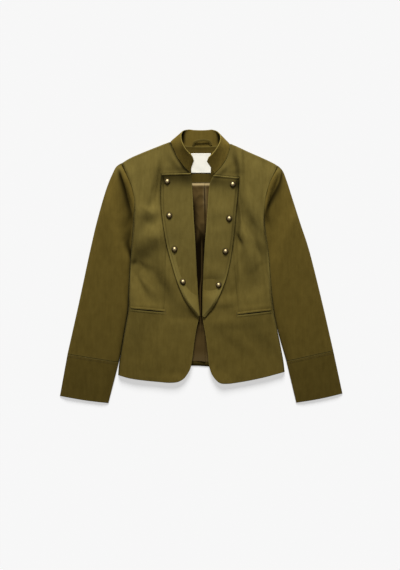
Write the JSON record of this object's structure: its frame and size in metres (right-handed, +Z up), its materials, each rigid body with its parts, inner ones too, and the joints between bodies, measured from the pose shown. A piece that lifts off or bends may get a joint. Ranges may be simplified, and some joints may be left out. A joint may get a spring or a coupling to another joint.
{
  "type": "napoleon jacket",
  "caption": "Short fitted olive jacket laid open on its back: stand collar, buttoned plastron on each front, jetted pockets, long sleeves with deep cuffs, cutaway hem, brown lining.",
  "frame": {"origin": "on the table, under the middle of the laid-out jacket's footprint", "axes": "+Z up off the table; +Y from the hem to the collar; +X to the wearer's left"},
  "size_m": [0.706, 0.6843, 0.035],
  "materials": {
    "olive_twill": "matt cotton twill",
    "olive_facing": "matt cotton twill, inside",
    "brown_lining": "smooth satin lining",
    "white_label": "bare woven label",
    "antique_brass": "antiqued, darkened in the hollows"
  },
  "bodies": {
    "root": {"back": "olive_twill", "back_hem_turn_up": "olive_facing", "back_lining": "brown_lining", "back_neck_facing": "olive_facing", "label": "white_label", "hanger_loop": "olive_facing", "collar": "olive_twill", "right_front": "olive_twill", "right_plastron": "olive_twill", "right_pocket_upper_welt": "olive_twill", "right_pocket_lower_welt": "olive_twill", "right_top_sleeve": "olive_twill", "right_under_sleeve": "olive_twill", "right_cuff": "olive_twill", "right_button_1": "antique_brass", "right_button_2": "antique_brass", "right_button_3": "antique_brass", "right_button_4": "antique_brass", "left_front": "olive_twill", "left_plastron": "olive_twill", "left_pocket_upper_welt": "olive_twill", "left_pocket_lower_welt": "olive_twill", "left_top_sleeve": "olive_twill", "left_under_sleeve": "olive_twill", "left_cuff": "olive_twill", "left_button_1": "antique_brass", "left_button_2": "antique_brass", "left_button_3": "antique_brass", "left_button_4": "antique_brass"}
  },
  "joints": []
}
